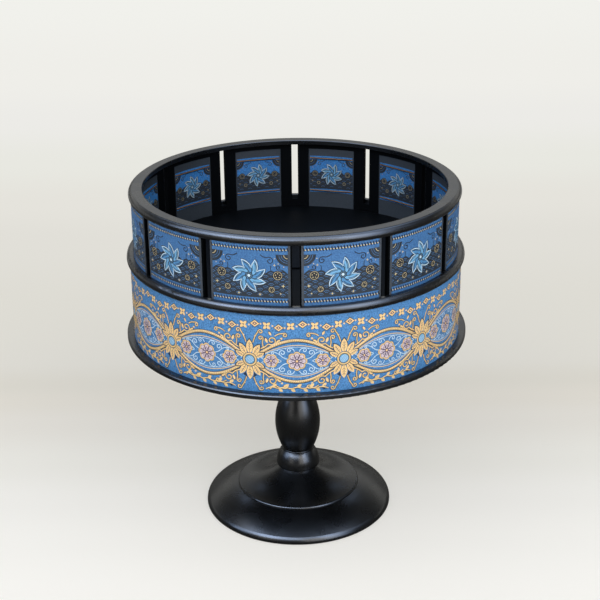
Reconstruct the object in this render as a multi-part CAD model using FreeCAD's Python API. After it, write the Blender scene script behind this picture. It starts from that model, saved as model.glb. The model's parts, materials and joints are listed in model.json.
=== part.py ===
import FreeCAD, Part

import math
import os

# A drum zoetrope that spins by hand on a turned pedestal. Millimetres, +Z up.
# The origin is on the table, on the spin axis. One viewing slot faces -Y.

# ---- drum: rings about the spin axis, each measured from the slotted wall ----
wall_outer_r = 98.2           # ground that the outer cards lie on
wall_thickness = 3.25         # out from the face of the black strips beside each slot
rim_overhang = 1.8            # rim's bead beyond the wall's outer face
rim_lip = 3.35                # rim's inner edge inside the wall's inner face
card_thickness = 0.4
band_thickness = 0.5
shell_step = 2.3              # lower shell's outer face beyond the slotted wall's
shell_floor_wall = 5.7        # wall of the lower shell below the floor
ledge_proud = 1.9             # how far the ledge stands out of the picture band
plate_edge_proud = 4.3        # how far the bottom plate stands out of the picture band

# ---- drum: heights ----
plate_thickness = 3.2
shell_height = 46.7
floor_drop = 2.2              # floor top below the shell's top
floor_thickness = 2.5
ledge_height = 5.1
ledge_land_drop = 0.2         # land where the outer cards stand, below the ledge's top
wall_height = 43.4
slot_sill = 3.0               # slot bottom above the shell's top
rim_height = 3.6              # rim above the wall's top
rim_lip_relief = 0.75         # underside of the rim's lip above the wall's top
rim_skirt = 1.2               # rim skirt that hides the outer cards' upper edge
rail_height = 3.1             # bare wall above the inner cards

# ---- viewing slots and cards ----
slot_count = 12
first_slot_angle = -90.0      # from +X, so that this slot faces -Y
slot_outer_width = 5.6
slot_inner_width = 4.1
slot_step_depth = 0.35        # depth of the wider outer part of each slot
strip_width = 18.6            # black strip with the slot in its middle
card_recess = 0.6             # depth of the seat behind each inner card
card_gap = 0.15               # clearance round a card

# ---- rim and plate mouldings ----
rim_bead_r = 2.75
rim_bead_rise = 0.69          # bead's widest line above the wall's top
rim_bead_upper_angle = 75.0   # how far the bead runs above its widest line
rim_quirk = 0.2
rim_inner_edge = 0.3
skirt_thickness = 0.5
plate_edge_r = 0.8
plate_round_height = 0.75
plate_land = 3.2              # flat between the picture band and the plate's rounded edge
ledge_crown_inset = 1.9       # flat top of the ledge inside its widest line
ledge_widest = 2.6            # widest line of the ledge above its base
ledge_upper_bulge = 0.5
ledge_lower_bulge = 0.6
ledge_base_inset = 1.5        # base of the ledge inside its widest line
ledge_land_gap = 0.3          # land beyond the outer cards

# ---- pedestal heights, from the table up ----
pad_thickness = 2.0
pad_proud = 1.0
foot_height = 24.5
bead_height = 13.5
barrel_height = 37.0
collar_height = 30.0
hub_lift = 2.0                # daylight between the fixed collar and the turning hub
hub_drop = 1.8                # hub tube below the bottom plate

# ---- foot ----
foot_r = 60.0
foot_lip_r = 4.4
foot_side_height = 0.9        # straight side under the lip's round
foot_bottom_edge = 0.5
foot_lip_angle = 54.6         # where the dome runs into the lip, degrees above level
foot_dome_bulge = 1.0
foot_ring_r = 39.3
foot_ring_height = 14.4       # stepped ring above the foot's base
foot_ring_edge = 1.2
foot_ring_step = 1.4
foot_cove_bulge = 1.9
pad_setback = 6.0             # pad's outer edge inside the foot's
pad_land = 4.7                # foot's land between the ballast pocket and the pad

# ---- turned column ----
bead_seat_r = 12.6
bead_swell = 1.3              # bead's widest ring beyond its seat
bead_taper = 3.5              # in from the widest ring to the waist
bead_equator = 2.9            # widest ring of the bead above its seat
bead_ring_height = 1.0        # fine ring between bead and barrel
bead_ring_inset = 0.1         # fine ring inside the waist
bead_ring_round = 0.35
bead_under_bulge = 0.45
barrel_swell = 4.4            # barrel's middle beyond its ends
barrel_end_inset = 0.2        # barrel's ends inside the fine rings
collar_neck_depth = 3.0       # collar's neck inside its seat
collar_neck_height = 4.0
collar_disc_r = 20.0
collar_disc_overhang = 2.5    # disc beyond the cove that runs up to it
collar_disc_height = 6.0
collar_cove_bulge = 2.6
collar_round = 1.2

# ---- spindle and bearings: two 8 x 22 x 7 ball bearings ----
bearing_bore_r = 4.0
bearing_outer_r = 11.0
bearing_width = 7.0
upper_bearing_drop = 10.7     # upper bearing's seat below the drum floor
ball_r = 1.985
ball_count = 7
groove_depth = 0.585          # how far the balls sink into each race
groove_clearance = 0.045
cage_gap = 0.4                # between the cage and each race
cage_end_gap = 0.15           # between the cage and the shield over it
cage_offset = 0.3             # crown cage starts this far above the ball centres
cage_pocket_clearance = 0.06
shield_thickness = 0.3
shield_inset = 0.15
shield_gap = 0.2              # running gap between a shield and the inner race
shield_seat = 0.5             # depth of the shield's seat in the outer race
spacer_inset = 0.1            # spacers inside the inner races' rims
lower_spacer_height = 5.0
rod_hole_clearance = 0.1
spacer_clearance = 0.05
rod_tail = 1.0                # spindle end beyond each nut

# ---- hub ----
hub_wall = 4.0                # round the bearings
hub_shoulder = 2.0            # shoulder that each outer race stands on
hub_flange_width = 12.0
hub_flange_thickness = 4.0
hub_head_width = 6.0
hub_head_height = 7.0
hub_hole_clearance = 0.1
floor_clearance = 0.1
cap_overhang = 3.0            # cap beyond the hub's head
cap_headroom = 1.0            # over the spindle's end
cap_wall = 1.8
cap_edge = 1.0
cap_plug_reach = 0.8          # plug beyond the bearings' outer size
cap_plug_gap = 0.5            # between the plug and the hub
cap_plug_wall = 1.5
cap_plug_clearance = 0.2

# ---- fasteners and ballast ----
nut_flats = 13.0
nut_sides = 6
jam_nut_height = 4.0
lock_nut_height = 6.5
washer_thickness = 1.6
washer_r = 8.5
top_washer_thickness = 1.2
top_washer_overhang = 0.1     # beyond the inner race's rim
ballast_r = 34.0
ballast_thickness = 6.0
ballast_hole_gap = 2.0        # between the ballast and the washer in its middle
ballast_clearance = 0.3
ballast_pocket_depth = 8.0
small_shank_r = 1.5
small_head_r = 2.8
small_head_height = 1.8
screw_bite_clearance = 0.03   # shank in the piece it bites
screw_pass_clearance = 0.2    # shank in the piece it passes through
drive_slot_width = 0.8
drive_slot_depth = 0.9
shell_screw_count = 6
shell_screw_length = 14.0
hub_screw_count = 4
hub_screw_length = 7.0
hub_screw_angle = 45.0        # first screw, from +X
floor_screw_count = 3
floor_screw_length = 9.0
floor_screw_inset = 3.5       # inside the edge of the hub's head
floor_screw_angle = 30.0
ballast_screw_count = 3
ballast_screw_length = 12.0

# ---- heights worked out from the stack ----
foot_base_z = pad_proud
foot_top_z = foot_base_z + foot_height
barrel_base_z = foot_top_z + bead_height
barrel_top_z = barrel_base_z + barrel_height
collar_base_z = barrel_top_z + bead_height
collar_top_z = collar_base_z + collar_height
hub_base_z = collar_top_z + hub_lift
plate_base_z = hub_base_z + hub_drop
plate_top_z = plate_base_z + plate_thickness
shell_top_z = plate_top_z + shell_height
floor_top_z = shell_top_z - floor_drop
floor_base_z = floor_top_z - floor_thickness
ledge_top_z = shell_top_z + ledge_height
ledge_land_z = ledge_top_z - ledge_land_drop
slot_base_z = shell_top_z + slot_sill
wall_top_z = floor_top_z + wall_height
rim_top_z = wall_top_z + rim_height
skirt_base_z = wall_top_z - rim_skirt
lower_bearing_z = collar_top_z + lower_spacer_height
upper_bearing_z = floor_base_z - upper_bearing_drop
pocket_top_z = foot_base_z + ballast_pocket_depth
jam_nut_z = pocket_top_z - washer_thickness - jam_nut_height
top_washer_z = upper_bearing_z + bearing_width
lock_nut_z = top_washer_z + top_washer_thickness
spindle_base_z = jam_nut_z - rod_tail
spindle_top_z = lock_nut_z + lock_nut_height + rod_tail
ballast_base_z = pocket_top_z - ballast_thickness
under_head_z = plate_base_z - small_head_height

# ---- sizes worked out from what fits what ----
wall_inner_r = wall_outer_r - wall_thickness
rim_outer_r = wall_outer_r + rim_overhang
rim_inner_r = wall_inner_r - rim_lip
shell_outer_r = wall_outer_r + shell_step
band_outer_r = shell_outer_r + band_thickness
inner_card_height = wall_height - rail_height
card_outer_r = wall_outer_r + card_thickness
inner_card_seat_r = wall_inner_r + card_recess
wall_seat_r = wall_outer_r + floor_clearance
bead_waist_r = bead_seat_r + bead_swell - bead_taper
bead_ring_r = bead_waist_r - bead_ring_inset
barrel_end_r = bead_ring_r - barrel_end_inset
rod_hole_r = bearing_bore_r + rod_hole_clearance
ball_circle_r = (bearing_bore_r + bearing_outer_r) / 2
inner_land_r = ball_circle_r - ball_r + groove_depth
outer_land_r = ball_circle_r + ball_r - groove_depth
top_washer_r = inner_land_r + top_washer_overhang
spacer_r = inner_land_r - spacer_inset
hub_tube_r = bearing_outer_r + hub_wall
hub_flange_r = hub_tube_r + hub_flange_width
hub_head_r = hub_tube_r + hub_head_width
cap_plug_r = bearing_outer_r + cap_plug_reach
ballast_hole_r = washer_r + ballast_hole_gap
ballast_pocket_r = ballast_r + ballast_clearance
pad_inner_r = ballast_pocket_r + pad_land
pad_outer_r = foot_r - pad_setback
shell_screw_circle_r = shell_outer_r - shell_floor_wall / 2
hub_screw_circle_r = (hub_tube_r + hub_flange_r) / 2
floor_screw_circle_r = hub_head_r - floor_screw_inset
ballast_screw_circle_r = (ballast_hole_r + ballast_r) / 2
slot_pitch = 360.0 / slot_count
bite_r = small_shank_r + screw_bite_clearance
pass_r = small_shank_r + screw_pass_clearance
sink_r = small_head_r + screw_pass_clearance
margin = 1.0                  # how far a cutting tool runs past the faces it cuts


def point(r, z):
    return FreeCAD.Vector(r, 0, z)


def turned(*steps):
    """Solid of revolution. A step is (r, z), or (middle, end) for an arc through middle."""
    start = point(*steps[0])
    edges = []
    here = start
    for step in steps[1:] + (steps[0],):
        if isinstance(step[0], tuple):
            end = point(*step[1])
            edges.append(Part.Arc(here, point(*step[0]), end).toShape())
        else:
            end = point(*step)
            edges.append(Part.LineSegment(here, end).toShape())
        here = end
    face = Part.Face(Part.Wire(edges))
    return face.revolve(FreeCAD.Vector(0, 0, 0), FreeCAD.Vector(0, 0, 1), 360)


def bulge(start, end, height):
    """Middle point of an arc that rises height off its chord, to the left of the way it runs."""
    run = (end[0] - start[0], end[1] - start[1])
    length = math.hypot(*run)
    middle = ((start[0] + end[0]) / 2, (start[1] + end[1]) / 2)
    return (middle[0] - run[1] / length * height, middle[1] + run[0] / length * height)


def swell(widest, end):
    """Middle point of the arc that leaves widest upright and runs in to end."""
    inwards = widest[0] - end[0]
    along = end[1] - widest[1]
    radius = (inwards ** 2 + along ** 2) / (2 * inwards)
    half = math.asin(along / radius) / 2
    return (widest[0] - radius + radius * math.cos(half), widest[1] + radius * math.sin(half))


def dome(rim, crown_z):
    """Middle point of the arc that rises from rim to a crown on the spin axis and is level there."""
    rise = crown_z - rim[1]
    radius = (rim[0] ** 2 + rise ** 2) / (2 * rise)
    half = math.asin(rim[0] / radius) / 2
    return (radius * math.sin(half), crown_z - radius + radius * math.cos(half))


def corner(centre, radius, degrees):
    angle = math.radians(degrees)
    return (centre[0] + radius * math.cos(angle), centre[1] + radius * math.sin(angle))


def tube(inner_r, outer_r, base_z, top_z):
    return turned((inner_r, base_z), (outer_r, base_z), (outer_r, top_z), (inner_r, top_z))


def sector(inner_r, outer_r, base_z, top_z, centre_angle, span):
    corners = [point(inner_r, base_z), point(outer_r, base_z), point(outer_r, top_z), point(inner_r, top_z)]
    face = Part.Face(Part.makePolygon(corners + [corners[0]]))
    face.rotate(FreeCAD.Vector(0, 0, 0), FreeCAD.Vector(0, 0, 1), centre_angle - span / 2)
    return face.revolve(FreeCAD.Vector(0, 0, 0), FreeCAD.Vector(0, 0, 1), span)


def spun(shape, angle):
    copy = shape.copy()
    copy.rotate(FreeCAD.Vector(0, 0, 0), FreeCAD.Vector(0, 0, 1), angle)
    return copy


def round_pattern(shape, count, first_angle=0.0):
    return [spun(shape, first_angle + turn * 360.0 / count) for turn in range(count)]


def peg(circle_r, radius, base_z, top_z):
    return Part.makeCylinder(radius, top_z - base_z, FreeCAD.Vector(circle_r, 0, base_z))


def drilled(shape, circle_r, radius, base_z, top_z, count, first_angle=0.0):
    return shape.cut(round_pattern(peg(circle_r, radius, base_z, top_z), count, first_angle))


def save(name, shapes):
    solids = shapes if isinstance(shapes, list) else [shapes]
    whole = solids[0] if len(solids) == 1 else Part.makeCompound(solids)
    whole.exportStep("parts/" + name + ".step")


# ---- pedestal ----

def make_foot():
    lip_centre = (foot_r - foot_lip_r, foot_base_z + foot_side_height)
    lip_start = corner(lip_centre, foot_lip_r, foot_lip_angle)
    lip_middle = corner(lip_centre, foot_lip_r, foot_lip_angle / 2)
    ring_z = foot_base_z + foot_ring_height
    ring_edge_centre = (foot_ring_r - foot_ring_edge, ring_z - foot_ring_edge)
    ring_start = (foot_ring_r - foot_ring_edge, ring_z)
    step_end = (foot_ring_r, ring_z - foot_ring_step)
    seat = (bead_seat_r, foot_top_z)
    foot = turned(
        (rod_hole_r, foot_top_z),
        seat,
        (bulge(seat, ring_start, -foot_cove_bulge), ring_start),
        (corner(ring_edge_centre, foot_ring_edge, 45), (foot_ring_r, ring_z - foot_ring_edge)),
        step_end,
        (bulge(step_end, lip_start, foot_dome_bulge), lip_start),
        (lip_middle, (foot_r, foot_base_z + foot_side_height)),
        (foot_r, foot_base_z + foot_bottom_edge),
        (foot_r - foot_bottom_edge, foot_base_z),
        (pad_outer_r, foot_base_z),
        (pad_outer_r, pad_thickness),
        (pad_inner_r, pad_thickness),
        (pad_inner_r, foot_base_z),
        (ballast_pocket_r, foot_base_z),
        (ballast_pocket_r, pocket_top_z),
        (rod_hole_r, pocket_top_z),
    )
    return drilled(foot, ballast_screw_circle_r, bite_r, pocket_top_z - margin,
                   ballast_base_z + ballast_screw_length, ballast_screw_count)


def make_base_pad():
    return tube(pad_inner_r, pad_outer_r, 0, pad_thickness)


def make_ballast_disc():
    disc = tube(ballast_hole_r, ballast_r, ballast_base_z, pocket_top_z)
    disc = drilled(disc, ballast_screw_circle_r, pass_r, ballast_base_z - margin, pocket_top_z + margin,
                   ballast_screw_count)
    return drilled(disc, ballast_screw_circle_r, sink_r, ballast_base_z - margin,
                   ballast_base_z + small_head_height, ballast_screw_count)


def screw_up(circle_r, head_base_z, length):
    """Round-headed screw, head at the bottom, shank upwards, with a straight driver slot."""
    head = peg(circle_r, small_head_r, head_base_z, head_base_z + small_head_height)
    shank = peg(circle_r, small_shank_r, head_base_z, head_base_z + length)
    reach = small_head_r + margin
    slot = Part.makeBox(2 * reach, drive_slot_width, drive_slot_depth + margin,
                        FreeCAD.Vector(circle_r - reach, -drive_slot_width / 2, head_base_z - margin))
    return head.fuse(shank).removeSplitter().cut(slot)


def screw_down(circle_r, head_top_z, length):
    screw = screw_up(circle_r, -head_top_z, length)
    screw.rotate(FreeCAD.Vector(0, 0, 0), FreeCAD.Vector(1, 0, 0), 180)
    return screw


def make_bead(seat_z, way):
    """Turned bead between foot and barrel, or barrel and collar; way is 1 upwards or -1 downwards."""
    ring_base = bead_height - bead_ring_height
    seat = (bead_seat_r, 0.0)
    widest = (bead_seat_r + bead_swell, bead_equator)
    waist = (bead_waist_r, ring_base)
    ring_low = (bead_ring_r - bead_ring_round, ring_base)
    ring_high = (bead_ring_r - bead_ring_round, bead_height)
    bead = turned(
        (rod_hole_r, 0.0),
        seat,
        (bulge(seat, widest, -bead_under_bulge), widest),
        (swell(widest, waist), waist),
        ring_low,
        ((bead_ring_r, (ring_base + bead_height) / 2), ring_high),
        (rod_hole_r, bead_height),
    )
    if way < 0:
        bead.rotate(FreeCAD.Vector(0, 0, 0), FreeCAD.Vector(1, 0, 0), 180)
    bead.translate(FreeCAD.Vector(0, 0, seat_z))
    return bead


def make_barrel():
    middle = (barrel_end_r + barrel_swell, (barrel_base_z + barrel_top_z) / 2)
    low = (barrel_end_r, barrel_base_z)
    high = (barrel_end_r, barrel_top_z)
    return turned(
        (rod_hole_r, barrel_base_z),
        low,
        (swell(middle, low), middle),
        (swell(middle, high), high),
        (rod_hole_r, barrel_top_z),
    )


def make_collar():
    neck = (bead_seat_r - collar_neck_depth, collar_base_z + collar_neck_height)
    disc_base_z = collar_top_z - collar_disc_height
    seat = (bead_seat_r, collar_base_z)
    flare = (collar_disc_r - collar_disc_overhang, disc_base_z)
    low_round = (collar_disc_r - collar_round, disc_base_z + collar_round)
    high_round = (collar_disc_r - collar_round, collar_top_z - collar_round)
    return turned(
        (rod_hole_r, collar_base_z),
        seat,
        (bulge(seat, neck, collar_round), neck),
        (bulge(neck, flare, collar_cove_bulge), flare),
        (low_round[0], disc_base_z),
        (corner(low_round, collar_round, -45), (collar_disc_r, low_round[1])),
        (collar_disc_r, high_round[1]),
        (corner(high_round, collar_round, 45), (high_round[0], collar_top_z)),
        (rod_hole_r, collar_top_z),
    )


def make_spindle():
    return peg(0, bearing_bore_r, spindle_base_z, spindle_top_z)


def make_nut(base_z, height):
    corner_r = nut_flats / 2 / math.cos(math.pi / nut_sides)
    corners = [FreeCAD.Vector(*corner((0, 0), corner_r, turn * 360 / nut_sides), base_z)
               for turn in range(nut_sides)]
    prism = Part.Face(Part.makePolygon(corners + [corners[0]])).extrude(FreeCAD.Vector(0, 0, height))
    return drilled(prism, 0, bearing_bore_r + screw_bite_clearance, base_z, base_z + height, 1)


# ---- ball bearings ----

def race_groove(base_z):
    centre = FreeCAD.Vector(0, 0, base_z + bearing_width / 2)
    return Part.makeTorus(ball_circle_r, ball_r + groove_clearance, centre)


def make_inner_race(base_z):
    return tube(bearing_bore_r, inner_land_r, base_z, base_z + bearing_width).cut(race_groove(base_z))


def make_outer_race(base_z):
    race = tube(outer_land_r, bearing_outer_r, base_z, base_z + bearing_width).cut(race_groove(base_z))
    return race.cut([
        tube(outer_land_r - margin, outer_land_r + shield_seat, low, low + shield_thickness)
        for low in shield_levels(base_z)])


def shield_levels(base_z):
    return (base_z + shield_inset, base_z + bearing_width - shield_inset - shield_thickness)


def make_shields(base_z):
    return [tube(inner_land_r + shield_gap, outer_land_r + shield_seat, low, low + shield_thickness)
            for low in shield_levels(base_z)]


def make_balls(base_z):
    ball = Part.makeSphere(ball_r, FreeCAD.Vector(ball_circle_r, 0, base_z + bearing_width / 2))
    return round_pattern(ball, ball_count)


def make_cage(base_z):
    middle_z = base_z + bearing_width / 2
    ring = tube(inner_land_r + cage_gap, outer_land_r - cage_gap,
                middle_z + cage_offset, shield_levels(base_z)[1] - cage_end_gap)
    pocket = Part.makeSphere(ball_r + cage_pocket_clearance, FreeCAD.Vector(ball_circle_r, 0, middle_z))
    return ring.cut(round_pattern(pocket, ball_count))


# ---- drum ----

def make_hub():
    flange_top_z = plate_top_z + hub_flange_thickness
    head_base_z = floor_base_z - hub_head_height
    shoulder_base_z = lower_bearing_z + bearing_width
    shoulder_r = bearing_outer_r - hub_shoulder
    hub = turned(
        (bearing_outer_r, hub_base_z),
        (hub_tube_r, hub_base_z),
        (hub_tube_r, plate_top_z),
        (hub_flange_r, plate_top_z),
        (hub_flange_r, flange_top_z),
        (hub_tube_r, flange_top_z),
        (hub_tube_r, head_base_z),
        (hub_head_r, head_base_z),
        (hub_head_r, floor_base_z),
        (bearing_outer_r, floor_base_z),
        (bearing_outer_r, upper_bearing_z),
        (shoulder_r, upper_bearing_z),
        (shoulder_r, shoulder_base_z),
        (bearing_outer_r, shoulder_base_z),
    )
    hub = drilled(hub, hub_screw_circle_r, bite_r, plate_top_z - margin,
                  under_head_z + hub_screw_length, hub_screw_count, hub_screw_angle)
    return drilled(hub, floor_screw_circle_r, bite_r, floor_top_z - floor_screw_length,
                   floor_base_z + margin, floor_screw_count, floor_screw_angle)


def make_bottom_plate():
    edge_r = band_outer_r + plate_edge_proud
    edge_low = (edge_r - plate_edge_r, plate_base_z)
    round_start = (band_outer_r + plate_land, plate_top_z)
    round_end = (edge_r, plate_top_z - plate_round_height)
    plate = turned(
        (hub_tube_r + hub_hole_clearance, plate_base_z),
        edge_low,
        (corner((edge_r - plate_edge_r, plate_base_z + plate_edge_r), plate_edge_r, -45),
         (edge_r, plate_base_z + plate_edge_r)),
        round_end,
        (bulge(round_end, round_start, -plate_round_height / 4), round_start),
        (hub_tube_r + hub_hole_clearance, plate_top_z),
    )
    low_z = plate_base_z - margin
    high_z = plate_top_z + margin
    plate = drilled(plate, hub_screw_circle_r, pass_r, low_z, high_z, hub_screw_count, hub_screw_angle)
    return drilled(plate, shell_screw_circle_r, pass_r, low_z, high_z, shell_screw_count)


def make_lower_shell():
    inner_r = shell_outer_r - shell_floor_wall
    shell = turned(
        (inner_r, plate_top_z),
        (shell_outer_r, plate_top_z),
        (shell_outer_r, shell_top_z),
        (wall_seat_r, shell_top_z),
        (wall_seat_r, floor_base_z),
        (inner_r, floor_base_z),
    )
    return drilled(shell, shell_screw_circle_r, bite_r, plate_top_z - margin,
                   under_head_z + shell_screw_length, shell_screw_count)


def make_drum_floor():
    floor = tube(cap_plug_r + cap_plug_clearance, wall_outer_r, floor_base_z, floor_top_z)
    floor = drilled(floor, floor_screw_circle_r, sink_r, floor_top_z - small_head_height,
                    floor_top_z + margin, floor_screw_count, floor_screw_angle)
    return drilled(floor, floor_screw_circle_r, pass_r, floor_base_z - margin,
                   floor_top_z + margin, floor_screw_count, floor_screw_angle)


def make_hub_cap():
    cavity_top_z = spindle_top_z + cap_headroom
    cavity_r = cap_plug_r - cap_plug_wall
    crown_z = cavity_top_z + cap_wall
    plug_base_z = floor_base_z + cap_plug_gap
    edge = (hub_head_r + cap_overhang, floor_top_z + cap_edge)
    return turned(
        (0.0, cavity_top_z),
        (cavity_r, cavity_top_z),
        (cavity_r, plug_base_z),
        (cap_plug_r, plug_base_z),
        (cap_plug_r, floor_top_z),
        (edge[0], floor_top_z),
        edge,
        (dome(edge, crown_z), (0.0, crown_z)),
    )


def make_picture_band():
    return tube(shell_outer_r, band_outer_r, plate_top_z, shell_top_z)


def make_ledge_ring():
    widest = (band_outer_r + ledge_proud, shell_top_z + ledge_widest)
    crown = (widest[0] - ledge_crown_inset, ledge_top_z)
    base = (widest[0] - ledge_base_inset, shell_top_z)
    land_end_r = card_outer_r + ledge_land_gap
    return turned(
        (wall_seat_r, shell_top_z),
        base,
        (bulge(base, widest, -ledge_lower_bulge), widest),
        (bulge(widest, crown, -ledge_upper_bulge), crown),
        (land_end_r + ledge_land_drop, ledge_top_z),
        (land_end_r, ledge_land_z),
        (wall_seat_r, ledge_land_z),
    )


def slot_tool():
    """Stepped cutter for one viewing slot, along +X: narrow inside, wider outside."""
    height = wall_top_z - slot_base_z + 2 * margin
    step_r = wall_outer_r - slot_step_depth
    inner_start = wall_inner_r - 2 * margin
    inner = Part.makeBox(step_r - inner_start + margin / 2, slot_inner_width, height,
                         FreeCAD.Vector(inner_start, -slot_inner_width / 2, slot_base_z - margin))
    outer = Part.makeBox(2 * margin + slot_step_depth, slot_outer_width, height,
                         FreeCAD.Vector(step_r, -slot_outer_width / 2, slot_base_z - margin))
    return inner.fuse(outer)


def slot_angle(turn):
    return first_slot_angle + turn * slot_pitch


def card_seat(turn):
    seat_top_z = floor_top_z + inner_card_height + card_gap
    return sector(wall_inner_r - margin, inner_card_seat_r, floor_top_z - margin, seat_top_z,
                  card_angle(turn), inner_card_span() + 2 * edge_gap())


def make_wall_base_ring():
    seats = [card_seat(turn) for turn in range(slot_count)]
    return tube(wall_inner_r, wall_outer_r, floor_top_z, slot_base_z).cut(seats)


def make_stave(turn):
    """The wall between two neighbouring slots, above the base ring."""
    stave = sector(wall_inner_r, wall_outer_r, slot_base_z, wall_top_z, card_angle(turn), slot_pitch)
    slots = [spun(slot_tool(), slot_angle(side)) for side in (turn, turn + 1)]
    return stave.cut(slots + [card_seat(turn)])


def card_angle(turn):
    return slot_angle(turn) + slot_pitch / 2


def edge_gap():
    return math.degrees(card_gap / inner_card_seat_r)


def inner_card_span():
    return slot_pitch - math.degrees(strip_width / wall_inner_r) - 2 * edge_gap()


def make_inner_card(turn):
    return sector(inner_card_seat_r - card_thickness, inner_card_seat_r, floor_top_z,
                  floor_top_z + inner_card_height, card_angle(turn), inner_card_span())


def make_outer_card(turn):
    slot_half = math.degrees(math.asin((slot_outer_width / 2 + card_gap) / wall_outer_r))
    return sector(wall_outer_r, card_outer_r, ledge_land_z, wall_top_z - card_gap,
                  card_angle(turn), slot_pitch - 2 * slot_half)


def make_top_rim():
    skirt_inner_r = card_outer_r + card_gap
    skirt_outer_r = skirt_inner_r + skirt_thickness
    bead_centre = (rim_outer_r - rim_bead_r, wall_top_z + rim_bead_rise)
    bead_high = corner(bead_centre, rim_bead_r, rim_bead_upper_angle)
    quirk = (bead_high[0] - rim_quirk, bead_high[1])
    lip_base_z = wall_top_z + rim_lip_relief
    return turned(
        (rim_inner_r, lip_base_z),
        (wall_inner_r, lip_base_z),
        (wall_inner_r, wall_top_z),
        (skirt_inner_r, wall_top_z),
        (skirt_inner_r, skirt_base_z),
        (skirt_outer_r, skirt_base_z),
        ((rim_outer_r, bead_centre[1]), bead_high),
        quirk,
        (quirk[0], rim_top_z),
        (rim_inner_r + rim_inner_edge, rim_top_z),
        (rim_inner_r, rim_top_z - rim_inner_edge),
    )


os.makedirs("parts", exist_ok=True)

save("foot", make_foot())
save("base_pad", make_base_pad())
save("ballast_disc", make_ballast_disc())
ballast_screw = screw_up(ballast_screw_circle_r, ballast_base_z, ballast_screw_length)
save("ballast_screws", round_pattern(ballast_screw, ballast_screw_count))
save("rod_washer", tube(rod_hole_r, washer_r, pocket_top_z - washer_thickness, pocket_top_z))
save("rod_nut", make_nut(jam_nut_z, jam_nut_height))
save("lower_bead", make_bead(foot_top_z, 1))
save("column_barrel", make_barrel())
save("upper_bead", make_bead(collar_base_z, -1))
save("bearing_collar", make_collar())
save("spindle", make_spindle())
save("lower_spacer", tube(bearing_bore_r + spacer_clearance, spacer_r, collar_top_z, lower_bearing_z))
save("bearing_spacer", tube(bearing_bore_r + spacer_clearance, spacer_r, lower_bearing_z + bearing_width,
                            upper_bearing_z))
save("top_washer", tube(rod_hole_r, top_washer_r, top_washer_z, lock_nut_z))
save("lock_nut", make_nut(lock_nut_z, lock_nut_height))

save("lower_inner_race", make_inner_race(lower_bearing_z))
save("upper_inner_race", make_inner_race(upper_bearing_z))
save("lower_outer_race", make_outer_race(lower_bearing_z))
save("upper_outer_race", make_outer_race(upper_bearing_z))
save("bearing_shields", make_shields(lower_bearing_z) + make_shields(upper_bearing_z))
save("bearing_balls", make_balls(lower_bearing_z) + make_balls(upper_bearing_z))
save("bearing_cages", [make_cage(lower_bearing_z), make_cage(upper_bearing_z)])

save("hub", make_hub())
save("bottom_plate", make_bottom_plate())
save("lower_shell", make_lower_shell())
save("drum_floor", make_drum_floor())
save("hub_cap", make_hub_cap())
save("picture_band", make_picture_band())
save("ledge_ring", make_ledge_ring())
save("wall_base_ring", make_wall_base_ring())
save("odd_staves", [make_stave(turn) for turn in range(0, slot_count, 2)])
save("even_staves", [make_stave(turn) for turn in range(1, slot_count, 2)])
save("top_rim", make_top_rim())
shell_screw = screw_up(shell_screw_circle_r, under_head_z, shell_screw_length)
save("shell_screws", round_pattern(shell_screw, shell_screw_count))
hub_screw = screw_up(hub_screw_circle_r, under_head_z, hub_screw_length)
save("hub_screws", round_pattern(hub_screw, hub_screw_count, hub_screw_angle))
floor_screw = screw_down(floor_screw_circle_r, floor_top_z, floor_screw_length)
save("floor_screws", round_pattern(floor_screw, floor_screw_count, floor_screw_angle))
for turn in range(slot_count):
    save("outer_card_%02d" % (turn + 1), make_outer_card(turn))
    save("inner_card_%02d" % (turn + 1), make_inner_card(turn))
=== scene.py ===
import json
import math

import bmesh
import bpy
from mathutils import Matrix, Vector


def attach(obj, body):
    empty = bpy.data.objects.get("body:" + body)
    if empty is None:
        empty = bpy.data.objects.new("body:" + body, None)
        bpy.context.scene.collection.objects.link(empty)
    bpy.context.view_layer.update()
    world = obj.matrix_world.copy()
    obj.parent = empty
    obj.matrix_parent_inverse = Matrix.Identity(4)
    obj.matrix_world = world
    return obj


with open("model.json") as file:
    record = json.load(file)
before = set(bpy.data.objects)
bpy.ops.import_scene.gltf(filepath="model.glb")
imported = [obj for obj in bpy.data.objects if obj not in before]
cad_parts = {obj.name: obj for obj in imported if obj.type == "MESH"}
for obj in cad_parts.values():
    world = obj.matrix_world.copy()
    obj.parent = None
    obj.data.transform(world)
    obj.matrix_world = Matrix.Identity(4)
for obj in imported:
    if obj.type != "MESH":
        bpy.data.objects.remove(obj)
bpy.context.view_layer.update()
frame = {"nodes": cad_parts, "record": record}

nodes = frame["nodes"]
mm = 0.001
print("frame loaded:", len(nodes), "nodes")

camera = {
    "place": (0.0, -0.77764, 0.4615),
    "lens": 81.01,
    "turn": -0.171,     # degrees to the right
    "tilt": 22.395,     # degrees down
    "roll": -0.582,
}
cameraData = bpy.data.cameras.new("camera")
cameraData.lens = camera["lens"]
cameraObject = bpy.data.objects.new("camera", cameraData)
bpy.context.scene.collection.objects.link(cameraObject)
cameraObject.matrix_world = (
    Matrix.Translation(camera["place"])
    @ Matrix.Rotation(math.radians(camera["turn"]), 4, "Z")
    @ Matrix.Rotation(math.radians(90 - camera["tilt"]), 4, "X")
    @ Matrix.Rotation(math.radians(camera["roll"]), 4, "Z")
)
bpy.context.scene.camera = cameraObject


def linear(hexColour):
    channels = [int(hexColour[place:place + 2], 16) / 255 for place in (1, 3, 5)]
    return [value / 12.92 if value <= 0.04045 else ((value + 0.055) / 1.055) ** 2.4
            for value in channels] + [1.0]


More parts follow.
